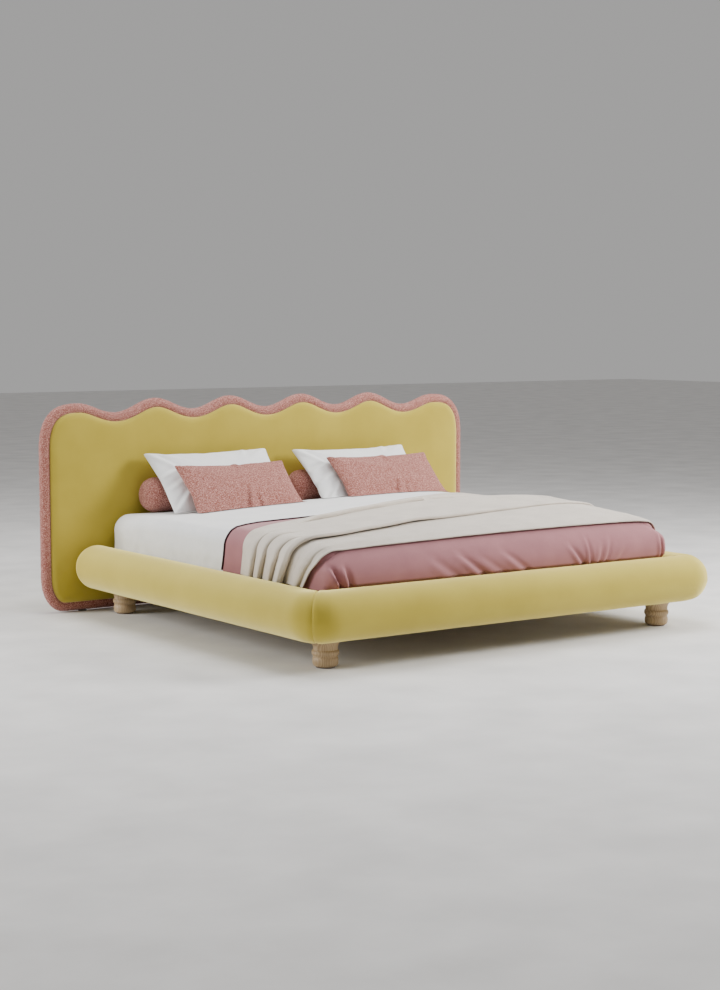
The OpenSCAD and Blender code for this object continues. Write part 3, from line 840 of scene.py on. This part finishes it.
def shell_piece(name, outer, inner, faces, lip, material, body, nodes):
    """Closes two matching surfaces round their common border with a rounded lip."""
    n = len(outer)
    edges = {(a, b): True for f in faces for a, b in zip(f, f[1:] + f[:1])}
    follow = {a: b for a, b in edges if (b, a) not in edges}
    start = next(iter(follow))
    ring, at = [start], follow[start]
    while at != start and len(ring) < n:
        ring.append(at)
        at = follow[at]
    pairs = np.array([e for e in edges if e[0] < e[1] or (e[1], e[0]) not in edges])
    away = unit(smooth_loop((outer - relax(outer, pairs))[ring], 6))
    k = len(ring)
    a, b = outer[ring], inner[ring]
    lips = [a + (b - a) * t + away * lip * math.sin(math.pi * t) for t in (0.15, 0.5, 0.85)]
    out = list(faces) + [tuple(n + i for i in f[::-1]) for f in faces]
    layers = [ring] + [list(range(2 * n + r * k, 2 * n + (r + 1) * k)) for r in range(3)]
    layers.append([n + i for i in ring])
    for one, two in zip(layers, layers[1:]):
        out += ring_faces(one, two)
    return make_object(name, np.vstack([outer, inner] + lips), out, material, body,
                       nodes)


def fold(p, q, start, end, width, depth):
    """Depth of a crease along a line in a (p, q) plane, fading from start to end."""
    (a, b), (c, d) = start, end
    length = math.hypot(c - a, d - b)
    ux, uy = (c - a) / length, (d - b) / length
    along = ((p - a) * ux + (q - b) * uy) / length
    off = (q - b) * ux - (p - a) * uy
    fade = ease((1.05 - along) / 0.6) * ease((along + 0.15) / 0.15)
    ridge = np.exp(-((off - 1.7 * width) / (1.1 * width)) ** 2)
    return depth * (0.8 * ridge - np.exp(-(off / width) ** 2)) * fade


def duvet():
    nx, ny, drop_rows = 190, 150, 26
    half = DUVET_HALF
    arc = np.radians(np.linspace(0, 90, 10))
    lead = DUVET_SHOULDER * (1 - np.cos(arc))[:-1]
    flat = half - DUVET_SHOULDER
    ux = np.r_[-half + lead, np.linspace(-flat, flat, nx - 18), (half - lead)[::-1]]
    far = DUVET_FOOT_Y + DUVET_FOOT_SHOULDER
    rows = [far + (duvet_head_y(ux) - far) * t for t in np.linspace(1, 0, ny - 9)]
    for step in DUVET_FOOT_SHOULDER * (1 - np.cos(arc))[-2::-1]:
        rows.append(np.full(len(ux), DUVET_FOOT_Y + step))
    y = np.array(rows)
    x = np.tile(ux, (len(y), 1))
    m, n = x.shape
    mid = (DUVET_FOOT_Y + 1.0) / 2
    sx, sy = round_corners(x, y - mid, (half, mid - DUVET_FOOT_Y), 100 * MM)
    keep = y - mid > 0
    sx, sy = np.where(keep, x, sx), np.where(keep, y - mid, sy) + mid
    depth = np.minimum(half - np.abs(sx), np.maximum(sy - DUVET_FOOT_Y, 0))
    short = np.maximum(DUVET_SHOULDER - depth, 0)
    fall = DUVET_SHOULDER - np.sqrt(np.maximum(DUVET_SHOULDER ** 2 - short ** 2, 0))
    top = np.column_stack([sx.ravel(), sy.ravel(), (duvet_top(sx, sy) - fall).ravel()])
    ring = [i * n for i in range(m)] + [(m - 1) * n + j for j in range(1, n)]
    ring += [i * n + n - 1 for i in range(m - 2, -1, -1)]
    drops, drop_faces = skirt(top[ring], ring, m * n, drop_rows, DUVET_LOW[2] + 2 * MM, False)
    for row, level in enumerate(drops):
        level[:, 1] += HEAD_SLANT * (row + 1) / drop_rows * ease((level[:, 1] + 0.5) / 0.45)
    faces = [f[::-1] for f in grid_faces(m, n)] + drop_faces
    points = settle(duvet_distance, np.vstack([top] + drops))
    points[:, 2] = np.maximum(points[:, 2], DUVET_LOW[2])
    inner = settle(sheet_distance, points, SHEET_GAP)
    inner[:, 2] = np.maximum(inner[:, 2], DUVET_LOW[2])
    lift = 4 * MM * ease((points[:, 1] - duvet_head_y(points[:, 0]) + 0.02) / 0.02)
    outer = points + slope(duvet_distance, points) * duvet_folds(points)[:, None]
    inner = inner + slope(sheet_distance, inner) * lift[:, None]
    obj = shell_piece("duvet_cover", outer, inner, faces, 5 * MM, MAUVE, "duvet",
                      ["duvet"])
    recalculate_normals(obj)


def duvet_painted_shadow_cord():
    """A thin near-black cord along the duvet's head edge: painted shadow, standing for the shade in
    the gap under that edge.
    """
    p = np.linspace(-1.195, 1.195, 420)
    side = np.clip((np.abs(p) - SHOULDER_START) / (HEM_P - SHOULDER_START), 0, 1)
    y = duvet_head_y(p) + HEAD_SLANT * side ** 2 + 2.5 * MM
    bare = ease((y - throw_head(p) - 10 * MM) / (25 * MM))
    line = settle(duvet_distance, over_bed(p, y), (7.0 * bare - 6.0) * MM)
    up = slope(duvet_distance, line)
    out = np.cross(unit(np.gradient(line, axis=0)), up)
    r, sides = 6.0 * MM, 10
    rings = [line + r * (math.cos(a) * out + math.sin(a) * up) for a in circle(sides)]
    faces = grid_faces(len(line), sides, wrap_cols=True)
    points = cap_tube(np.stack(rings, axis=1).reshape(-1, 3), faces, len(line), sides)
    obj = make_object("duvet_painted_shadow_cord", points, faces, PAINTED_SHADOW_DARK, "duvet")
    recalculate_normals(obj)


def duvet_folds(points):
    x, y, z = points.T
    soft = 1.6 * wobble(points * (1.0, 1.6, 1.0), 3.0, 4.0) + 0.7 * wobble(points, 9.0, 7.0)
    deep = np.zeros(len(points))
    for start, end, width, depth in DUVET_FOLDS:
        deep += fold(x, z - DUVET_LOW[2], start, end, width * MM, depth * MM)
    return soft * MM + deep * ease((-0.90 - y) / 0.06)


# Creases on the duvet's foot side: start and end as (x, height over its hem), then width and depth
# in millimetres.
DUVET_FOLDS = (
    ((-0.940, 0.0), (-0.985, 0.120), 10, 30), ((-0.885, 0.0), (-0.920, 0.125), 12, 15),
    ((-0.30, 0.02), (-0.48, 0.140), 20, 5), ((-0.14, 0.015), (-0.32, 0.150), 15, 8),
    ((-0.03, 0.02), (-0.20, 0.125), 17, 4), ((0.11, 0.02), (-0.06, 0.140), 15, 6),
    ((0.475, 0.0), (0.36, 0.140), 12, 9), ((0.505, 0.0), (0.49, 0.160), 8, 13),
    ((0.550, 0.0), (0.585, 0.120), 10, 6), ((0.59, 0.0), (0.65, 0.145), 10, 7),
    ((0.66, 0.0), (0.75, 0.105), 14, 3), ((0.965, 0.0), (0.972, 0.150), 9, 11),
)


THROW_CORE = 3.2 * MM
SHOULDER_START = 0.93
SHOULDER_ARC = 0.118
HEM_P = 1.197


def guide(*pairs):
    """A smooth curve y(p) across the bed through the given pairs."""
    p, y = np.array(pairs).T
    fine = np.linspace(-1.2, 1.2, 481)
    line = np.interp(fine, p, y)
    ends = line[0], line[-1]
    for _ in range(14):
        line = np.r_[ends[0], (line[:-2] + 2 * line[1:-1] + line[2:]) / 4, ends[1]]
    return lambda at: np.interp(at, fine, line)


throw_head = guide((-1.20, -0.285), (-1.06, -0.31), (-0.98, -0.305), (-0.94, -0.30), (-0.80, -0.22),
                   (-0.68, -0.185), (-0.47, -0.125), (-0.16, 0.04), (0.12, 0.175), (0.60, 0.34),
                   (0.86, 0.42), (1.05, 0.42), (1.20, 0.40))
throw_mid = guide((-1.20, -0.655), (-1.10, -0.69), (-1.01, -0.735), (-0.95, -0.785), (-0.90, -0.79),
                  (-0.80, -0.775), (-0.62, -0.72), (-0.42, -0.675), (-0.27, -0.63), (0.15, -0.585),
                  (0.90, -0.50), (1.20, -0.48))
throw_front = guide((-1.20, -0.81), (-1.09, -0.87), (-1.03, -0.91), (-0.98, -0.945),
                    (-0.90, -0.96), (-0.72, -0.95), (0.0, -0.935), (0.95, -0.935), (1.05, -0.90),
                    (1.20, -0.85))


def over_bed(p, y):
    """First guess of a point of the throw: p is measured across the bed, over the shoulders."""
    side = np.sign(p)
    q = np.abs(p)
    turn = np.clip((q - SHOULDER_START) / SHOULDER_ARC, 0, 1) * math.pi / 2
    x = np.minimum(q, SHOULDER_START) + 86 * MM * np.sin(turn)
    top = duvet_top(side * np.minimum(q, SHOULDER_START), np.maximum(y, -0.88))
    rim = top - DUVET_SHOULDER * (1 - np.cos(turn))
    low = top - DUVET_SHOULDER
    arc_end = SHOULDER_START + SHOULDER_ARC
    down = np.clip((q - arc_end) / (HEM_P - arc_end), 0, 1)
    return np.column_stack([side * x, y, rim + (DROP_Z - low) * down])


def pleat(f, start, end, steep=0.19):
    """Height of one pleat from 0 to 1: a slow rise towards the foot, then a round, steep drop."""
    t = (f - start) / (end - start)
    rise = ease(t / (1 - steep)) ** 0.8
    drop = np.sqrt(np.clip(1 - (np.clip(t - 1 + steep, 0, steep) / steep) ** 2, 0, 1))
    return rise * drop * ((t > 0) & (t < 1))


# Pleats of the upper layer: start and end from head edge (0) to fold (1), height in millimetres,
# and how much nearer to the middle of the bed the pleat begins.
LEFT_PLEATS = ((0.0, 0.28, 20, 0.0), (0.28, 0.48, 26, 0.10), (0.48, 0.73, 24, 0.03),
               (0.73, 1.0, 13, 0.0))
RIGHT_PLEATS = ((0.0, 0.22, 16, 0.0), (0.22, 0.46, 22, 0.04), (0.46, 0.70, 20, 0.06),
                (0.70, 1.0, 12, 0.0))


def pleat_height(p, f):
    """How far the upper layer stands out, by the place across and the share from the head edge."""
    hang = 0.35 + 0.65 * ease((np.abs(p) - 0.96) / 0.14)
    total = np.zeros_like(p)
    for side, pleats in ((-1, LEFT_PLEATS), (1, RIGHT_PLEATS)):
        for start, end, height, early in pleats:
            reach = ease((side * p - 0.88 + early) / 0.14)
            total += pleat(f, start, end) * height * MM * reach * hang
    crest = np.interp(p, (-0.6, -0.35, -0.075, 0.28, 0.8), (0.19, 0.205, 0.25, 0.255, 0.20))
    spread = ease((p + 0.74) / 0.2) * ease((0.80 - p) / 0.45)
    total += 19 * MM * spread * pleat(f, crest - 0.2, crest, 0.07)
    uneven = 1 + 0.25 * wobble(np.column_stack([p * 3, f * 5, 0 * p]), 1.0, 3.0)
    return total * uneven


def throw():
    p_line = np.r_[np.linspace(-HEM_P, -0.86, 52), np.linspace(-0.845, 0.85, 118),
                   np.linspace(0.865, HEM_P, 44)]
    r2, back = 2.5 * MM, 50 * MM
    places = [np.linspace(0, 0.97, 84), np.linspace(0.15, 0.27, 36)]
    for valley in (0.24, 0.28, 0.46, 0.48, 0.70, 0.73):
        places.append(valley - 0.03 * np.linspace(0, 1, 6) ** 2)
    path = [("upper", f) for f in np.unique(np.round(np.concatenate(places), 4))]
    path += [("turn", a) for a in np.radians(np.linspace(0, 180, 9))]
    path += [("return", t) for t in np.linspace(0.15, 1, 7)]
    path += [("tuck", a) for a in np.radians(np.linspace(20, 180, 6))]
    path += [("lower", t) for t in np.linspace(0.02, 1, 46)]
    head, mid, front = throw_head(p_line), throw_mid(p_line), throw_front(p_line)
    top_h = (21 + 8 * ease((-0.05 - p_line) / 0.25) - 8 * ease((p_line - 0.05) / 0.5)) * MM
    r1 = np.minimum(6 * MM, (top_h - THROW_CORE) / 2 - 1.9 * MM)
    one, rows = np.ones_like(p_line), []
    for kind, t in path:
        f, raised = one, 0 * one
        if kind == "upper":
            s = -(1 - t) * (head - mid) - r1
            y = mid - s
            h = THROW_CORE + (top_h - THROW_CORE) * ease((s + 0.125) / 0.115)
            f = t * one
            raised = pleat_height(p_line, f)
        elif kind == "turn":
            y = mid + r1 - r1 * math.sin(t)
            h = top_h - r1 + r1 * math.cos(t)
        elif kind == "return":
            y = mid + r1 + (back - r1) * t
            under = top_h - 2 * r1
            h = under + (THROW_CORE + 2 * r2 - under) * ease(t)
        elif kind == "tuck":
            y = mid + back + r2 * math.sin(t)
            h = (THROW_CORE + r2 + r2 * math.cos(t)) * one
        else:
            y = mid + back + (front - mid - back) * t
            h = THROW_CORE * one
            f = 1 + (mid - y) / (mid - front)
            raised = 17 * pleat(f - 1, 0.25, 0.74, 0.3) + 11 * pleat(f - 1, 0.74, 1.3, 0.3)
            raised = (ease((-0.93 - p_line) / 0.14) * raised + 5 * ease((t - 0.88) / 0.12)) * MM
        rows.append((y - 0.6 * raised, h + raised, f))
    y, h, f = (np.array(column) for column in zip(*rows))
    p = np.tile(p_line, (len(path), 1))
    flat = np.column_stack([p.ravel() * 1.3, f.ravel() * 2.2, 0 * p.ravel()])
    drift = 2.2 * wobble(flat * (1, 2.2, 1), 2.2, 9.0) + wobble(flat * (1, 3.0, 1), 5.0, 2.0)
    points = settle(bed_distance, over_bed(p.ravel(), y.ravel()))
    points += slope(bed_distance, points) * (h.ravel() + np.abs(drift) * MM)[:, None]
    obj = make_object("throw_cloth", points, grid_faces(*p.shape), CREAM, "throw",
                      ["throw"])
    apply_modifier(obj, "SOLIDIFY", thickness=4.4 * MM, offset=0)
    recalculate_normals(obj)


# --- pillows

def simulate(obj, frames, **settings):
    """Runs Blender's cloth on obj alone, without gravity, and keeps the last frame's shape."""
    mod = obj.modifiers.new("cloth", "CLOTH")
    mod.settings.effector_weights.gravity = 0.0
    for key, value in settings.items():
        setattr(mod.settings, key, value)
    mod.point_cache.frame_start = 1
    mod.point_cache.frame_end = frames
    scene = bpy.context.scene
    for f in range(1, frames + 1):
        scene.frame_set(f)
    bake_modifiers(obj)
    scene.frame_set(1)


def bag_mesh(width, height, nx, ny, puff):
    """Two layers of cloth sewn round the edge, in the XZ plane, a little open in the middle."""
    points, index, faces = [], {}, []
    for layer in (0, 1):
        for i, z in enumerate(np.linspace(-1, 1, ny)):
            for j, x in enumerate(np.linspace(-1, 1, nx)):
                if layer and (i in (0, ny - 1) or j in (0, nx - 1)):
                    index[1, i, j] = index[0, i, j]
                    continue
                index[layer, i, j] = len(points)
                bulge = puff * (1 - x ** 4) * (1 - z ** 4)
                points.append((x * width / 2, (-bulge, bulge)[layer], z * height / 2))
        for i in range(ny - 1):
            for j in range(nx - 1):
                quad = [index[layer, i + b, j + a] for a, b in ((0, 0), (1, 0), (1, 1), (0, 1))]
                faces.append(tuple(quad[::-1] if layer else quad))
    return np.array(points), faces


LEAN = math.radians(48)
CUT_OVER = 1.07
CLOTH_FRAMES = 26


def lean_matrix(angle):
    c, s = math.cos(angle), math.sin(angle)
    return np.array([[1, 0, 0], [0, c, s], [0, -s, c]])


def pillow(node, size, centre, angle, thickness, seed):
    soft = node.startswith("pillow")
    width, height = np.array(size) * CUT_OVER
    points, faces = bag_mesh(width, height, 76, 46, 12 * MM)
    points[:, 1] *= 1 + 0.5 * wobble(points, 6.0, seed)
    obj = make_object(f"{node}_body", points, faces, WHITE if soft else BOUCLE, None)
    simulate(obj, CLOTH_FRAMES, quality=5, mass=0.25, tension_stiffness=25,
             compression_stiffness=25, shear_stiffness=8, bending_stiffness=0.05 if soft else 0.6,
             use_pressure=True, uniform_pressure_force=3.0)
    laid = lay_out(points, coordinates(obj), size, thickness)
    set_coordinates(obj, creases(laid, size, PILLOW_CREASES if soft else CUSHION_CREASES))
    subdivide(obj)
    set_coordinates(obj, coordinates(obj) @ lean_matrix(angle).T + np.array(centre))
    return obj


def lay_out(cut, puffed, size, thickness, bow=0.035, give=0.12):
    """Keeps a pillow's simulated thickness and creases inside a straight, slightly bowed seam."""
    flat = cut[:, (0, 2)] / np.ptp(cut[:, (0, 2)], axis=0)
    puffed = puffed - (puffed.max(0) + puffed.min(0)) / 2
    drift = puffed[:, (0, 2)] / np.ptp(puffed[:, (0, 2)], axis=0)
    bowed = flat * (1 - bow * (1 - 4 * flat[:, ::-1] ** 2))
    spread = ((1 - give) * bowed + give * drift) * size
    swell = puffed[:, 1] / np.abs(puffed[:, 1]).max()
    deep = np.sign(swell) * np.abs(swell) ** 0.62 * thickness / 2
    return np.column_stack([spread[:, 0], deep, spread[:, 1]])


def creases(co, size, lines):
    """Presses soft creases, given on the face as shares of its size, into the front of a pillow."""
    u, v = co[:, 0] / size[0], co[:, 2] / size[1]
    wide = size[0] / size[1]
    deep = np.zeros(len(co))
    for start, end, width, depth in lines:
        deep += fold(u * wide, v, (start[0] * wide, start[1]), (end[0] * wide, end[1]), width,
                     depth * MM)
    body = ease((0.5 - np.abs(u)) / 0.06) * ease((0.5 - np.abs(v)) / 0.06)
    out = co.copy()
    out[:, 1] -= deep * np.where(co[:, 1] < 0, body, 0)
    return out


def soft_floor(d, width):
    """Close to max(d, 0), with the bend spread over width."""
    return (d + np.sqrt(d * d + width * width)) / 2


def press_back(tree, co, pairs, gap):
    """Flattens whatever lies behind a surface on to it, along the lean of the pillows."""
    back = Vector(lean_matrix(LEAN) @ (0, 1, 0))
    room = np.full(len(co), 1.0)
    for i, p in enumerate(co):
        start = Vector(p) - back * 0.5
        hit = tree.ray_cast(start, back, 1.0)[0]
        if hit:
            room[i] = (hit - start).length - 0.5 - gap
    shift = room - soft_floor(room, 6 * MM)
    need = shift[:, None] * np.ones(3)
    for _ in range(6):
        need = np.minimum(relax(need, pairs), shift[:, None])
    return co + np.array(back) * need


def rest_on_bed(obj, bolster_node, behind=None):
    """Presses a pillow against the pillow behind it, the bolster, the headboard and the bed."""
    co = coordinates(obj)
    if behind:
        co = press_back(surface_tree(behind), co, edge_pairs(obj), 4 * MM)
    low, high = span(bolster_node) + np.array(BOLSTER_SHIFT[bolster_node])
    axis, r = (low + high) / 2, (high[1] - low[1]) / 2 + 2 * MM
    arm = co[:, 1:] - axis[1:]
    far = np.linalg.norm(arm, axis=1)
    end = 20 * MM
    beside = ease((co[:, 0] - low[0] + end) / end) * ease((high[0] + end - co[:, 0]) / end)
    push = (soft_floor(far - r, 10 * MM) - (far - r)) * beside
    co[:, 1:] += arm / far[:, None] * push[:, None]
    room = FACE_Y - 4 * MM - co[:, 1]
    co[:, 1] += room - soft_floor(room, 6 * MM)
    air = sheet_distance(co) - 2 * MM
    co[:, 2] += soft_floor(air, 14 * MM) - air
    for _ in range(3):
        sunk = np.minimum(sheet_distance(co) - 2 * MM, 0)
        co = co - slope(sheet_distance, co) * sunk[:, None]
    set_coordinates(obj, co)


def surface_tree(obj):
    graph = bpy.context.evaluated_depsgraph_get()
    graph.update()
    return BVHTree.FromObject(obj, graph)


# Creases on a pillow's face: start and end as shares of its size, width as a share of its height,
# and depth in millimetres.
PILLOW_CREASES = (
    ((-0.50, 0.50), (-0.16, 0.20), 0.035, -10), ((-0.47, 0.42), (-0.26, -0.02), 0.03, -9),
    ((-0.49, 0.05), (-0.22, 0.16), 0.03, -8), ((-0.49, -0.16), (-0.20, 0.02), 0.035, -9),
    ((-0.46, -0.46), (-0.26, -0.12), 0.03, -9), ((0.50, 0.50), (0.24, 0.20), 0.035, -9),
    ((0.30, 0.49), (0.22, 0.28), 0.03, -6), ((0.49, 0.10), (0.30, 0.06), 0.035, -6),
)
CUSHION_CREASES = (
    ((-0.02, -0.46), (0.03, -0.05), 0.035, -12), ((0.10, -0.47), (0.09, -0.16), 0.03, -9),
    ((-0.50, 0.50), (-0.36, 0.22), 0.04, -10), ((-0.46, -0.46), (-0.34, -0.20), 0.035, -9),
    ((0.02, 0.48), (0.06, 0.22), 0.045, -12), ((0.50, 0.50), (0.38, 0.24), 0.04, -9),
)
PILLOW_SPOTS = {
    "pillow_left": dict(size=(0.755, 0.445), centre=(-0.443, 0.850, 0.664), angle=LEAN,
                        thickness=0.125, seed=1.0),
    "pillow_right": dict(size=(0.755, 0.445), centre=(0.470, 0.835, 0.652), angle=LEAN,
                         thickness=0.125, seed=5.0),
    "cushion_left": dict(size=(0.665, 0.36), centre=(-0.414, 0.695, 0.630), angle=LEAN - 0.05,
                         thickness=0.115, seed=9.0),
    "cushion_right": dict(size=(0.675, 0.36), centre=(0.544, 0.702, 0.638), angle=LEAN - 0.05,
                          thickness=0.115, seed=13.0),
}


def pillows():
    made = {node: pillow(node, **spot) for node, spot in PILLOW_SPOTS.items()}
    for side in ("left", "right"):
        rest_on_bed(made[f"pillow_{side}"], f"bolster_{side}")
        rest_on_bed(made[f"cushion_{side}"], f"bolster_{side}", made[f"pillow_{side}"])
    for node, obj in made.items():
        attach(obj, node)
        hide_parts(node)
        if node.startswith("cushion"):
            subdivide(obj)
            roughen(obj, 1.3)


BOLSTER_SHIFT = {"bolster_left": (18 * MM, 0, -12 * MM), "bolster_right": (9 * MM, 0, -12 * MM)}


def bolster(node):
    low, high = span(node)
    centre = (low + high) / 2
    half, r = (high - low)[:2] / 2 - LOOP_ROOM
    end_r = 72 * MM
    sides = 96
    profile = [(0.0, half), (r - end_r, half)]
    for a in np.radians(np.linspace(5, 90, 18)):
        profile.append((r - end_r + end_r * math.sin(a), half - end_r + end_r * math.cos(a)))
    middle = [(r, x) for x in np.linspace(half - end_r - 6 * MM, -(half - end_r), 108)]
    profile += middle + [(q, -x) for q, x in profile[::-1]]
    points = lathe(profile, sides)[:, (2, 0, 1)]
    points[:, 2] *= 1 - 0.05 * np.clip(-points[:, 2] / r, 0, 1)
    points += centre + BOLSTER_SHIFT[node]
    obj = make_object(f"{node}_body", points, grid_faces(len(profile), sides, wrap_cols=True),
                      BOUCLE, node, [node])
    recalculate_normals(obj)
    roughen(obj, 1.7)


def roughen(obj, amount):
    """Raises the loops of a boucle cover."""
    co, n = coordinates(obj), coordinates(obj, "normal")
    bumps = amount * (1.6 * loops(co, LOOP_SIZE) + 0.8 * wobble(co, 60.0) - 0.7) * MM
    set_coordinates(obj, co + n * bumps[:, None])


# --- stage

def aimed(name, data, place, aim):
    """A camera or light at a place, turned towards another."""
    obj = bpy.data.objects.new(name, data)
    obj.location = place
    obj.rotation_euler = (Vector(aim) - Vector(place)).to_track_quat("-Z", "Y").to_euler()
    bpy.context.scene.collection.objects.link(obj)
    return obj


def area_light(name, place, aim, size, power):
    data = bpy.data.lights.new(name, "AREA")
    data.shape = "RECTANGLE"
    data.size, data.size_y = size
    data.energy = power
    aimed(name, data, place, aim)


def stage():
    floor = make_object("floor", [(-30, -30, 0), (30, -30, 0), (30, 30, 0), (-30, 30, 0)],
                        [(0, 1, 2, 3)],
                        plain("floor_paint", (0.80, 0.785, 0.77), 0.0, 0.8, 3.0, 0.0), None)
    world = bpy.data.worlds.new("studio")
    world.use_nodes = True
    background = world.node_tree.nodes["Background"]
    background.inputs["Color"].default_value = (0.86, 0.85, 0.84, 1)
    background.inputs["Strength"].default_value = 0.48
    bpy.context.scene.world = world
    area_light("key", (4.3, -3.0, 3.2), (0.4, 0.3, 0.5), (2.2, 2.2), 470)
    area_light("top", (0.4, 0.2, 5.2), (0, 0, 0.3), (4.0, 4.0), 260)
    area_light("side", (-5.8, 2.3, 2.2), (-0.9, 0.0, 0.35), (2.4, 2.4), 300)


def camera():
    data = bpy.data.cameras.new("camera")
    data.sensor_width = 36.0
    data.lens = 67.27
    data.clip_end = 200
    place, aim = (-5.434, -7.536, 1.483), (-0.101, 0.064, 0.629)
    bpy.context.scene.camera = aimed("camera", data, place, aim)


def dress_frame():
    """Gives the carried-over CAD nodes their materials."""
    looks = {"pine": PINE, "plywood": PLY, "steel": STEEL, "black_plastic": PLASTIC, "felt": FELT}
    for part in frame["record"]["subparts"]:
        look = looks.get(part["material_slot"])
        obj = frame["nodes"][part["node"]]
        if look and not obj.hide_render:
            if not obj.material_slots:
                obj.data.materials.append(look)
            for slot in obj.material_slots:
                slot.link = "OBJECT"
                slot.material = look


camera()
border_roll()
front_panel()
back_cover()
side_rail(-1)
side_rail(1)
foot_rail()
for foot in ("foot_front_left", "foot_front_right", "foot_back_left", "foot_back_right"):
    turned_foot(foot)
mattress()
fitted_sheet()
bolster("bolster_left")
bolster("bolster_right")
pillows()
duvet()
duvet_painted_shadow_cord()
throw()
dress_frame()
stage()
